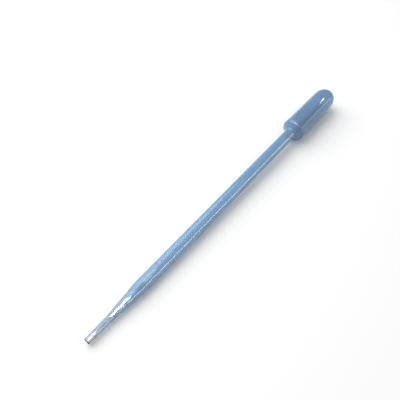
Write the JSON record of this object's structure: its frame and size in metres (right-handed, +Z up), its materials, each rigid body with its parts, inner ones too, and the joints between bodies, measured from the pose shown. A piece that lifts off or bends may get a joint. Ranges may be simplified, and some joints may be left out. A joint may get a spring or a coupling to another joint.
{
  "type": "plastic dropper pipette",
  "caption": "Long one-piece blow-moulded dropper pipette: fine outlet tip, slender stem and a closed squeeze bulb.",
  "frame": {"origin": "on the surface it lies on, under the middle of its box", "axes": "+X from the tip towards the bulb, +Z up; the pipette's own axis climbs 1.61 degrees towards the bulb"},
  "size_m": [0.3002, 0.0206, 0.0213],
  "materials": {
    "soft_polyethylene": "milky translucent low-density polyethylene, soft satin gloss off the mould"
  },
  "bodies": {
    "root": {"dropper_pipette": "soft_polyethylene"}
  },
  "joints": []
}
